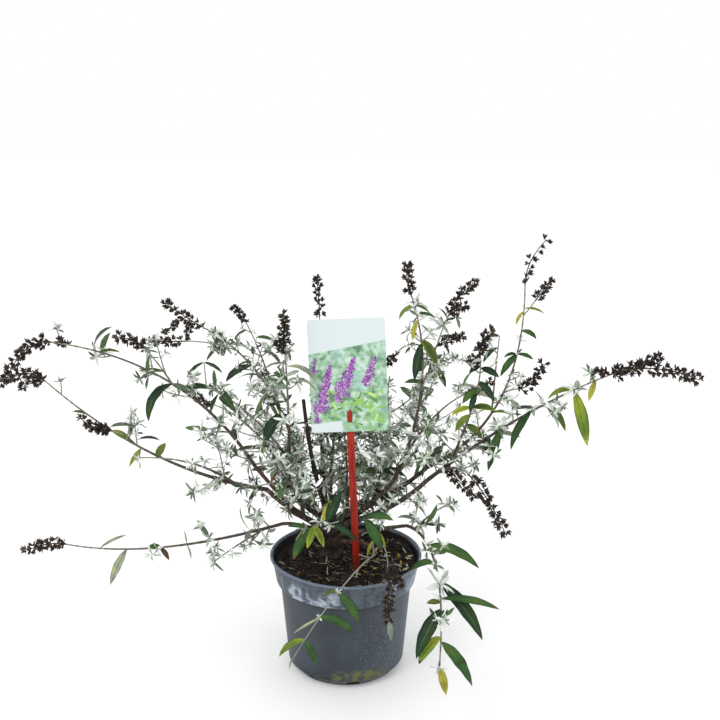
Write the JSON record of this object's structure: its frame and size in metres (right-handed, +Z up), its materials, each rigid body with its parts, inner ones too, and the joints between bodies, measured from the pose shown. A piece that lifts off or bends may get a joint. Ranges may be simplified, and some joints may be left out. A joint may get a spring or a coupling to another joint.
{
  "type": "potted butterfly bush",
  "caption": "Butterfly bush in a round nursery pot: arching shoots with silvery young leaves, drooping old leaves, spent seed heads and a plant label on a flat stick.",
  "frame": {"origin": "centre of the pot's flat underside", "axes": "+Z up, +X along the longest reach of the crown, -Y towards the side that the plant label faces"},
  "size_m": [0.8173, 0.5064, 0.5218],
  "materials": {
    "pot": "dull slate-grey plastic with dust and scuffs",
    "compost": "near-black bark compost with pale chips and straw",
    "bark": "thin grey-brown flaking bark",
    "foliage": "felted silver and dull green leaves with dark dry seed heads",
    "label_stick": "red plastic",
    "label_card": "printed plastic card with a plain garden print"
  },
  "bodies": {
    "root": {"pot": "pot", "soil": "compost", "trunk": "bark", "bough_centre": "bark", "bough_left_long": "bark", "bough_left_upper": "bark", "bough_left_upright": "bark", "bough_left_back": "bark", "bough_left_low": "bark", "bough_heart_left": "bark", "bough_heart_front": "bark", "bough_heart_right": "bark", "bough_right_upright": "bark", "bough_right_long": "bark", "bough_right_top": "bark", "bough_front_right": "bark", "bough_front": "bark", "bough_front_left": "bark", "bough_back_left": "bark", "bough_back": "bark", "bough_back_right": "bark", "bough_back_low": "bark", "dead_stub": "bark", "mass_centre": "foliage", "mass_left_long": "foliage", "mass_left_upper": "foliage", "mass_left_upright": "foliage", "mass_left_back": "foliage", "mass_left_low": "foliage", "mass_heart_left": "foliage", "mass_heart_front": "foliage", "mass_heart_right": "foliage", "mass_right_upright": "foliage", "mass_right_long": "foliage", "mass_right_top": "foliage", "mass_front_right": "foliage", "mass_front": "foliage", "mass_front_left": "foliage", "mass_back_left": "foliage", "mass_back": "foliage", "mass_back_right": "foliage", "mass_back_low": "foliage", "label_stick": "label_stick", "label_card": "label_card"}
  },
  "joints": []
}
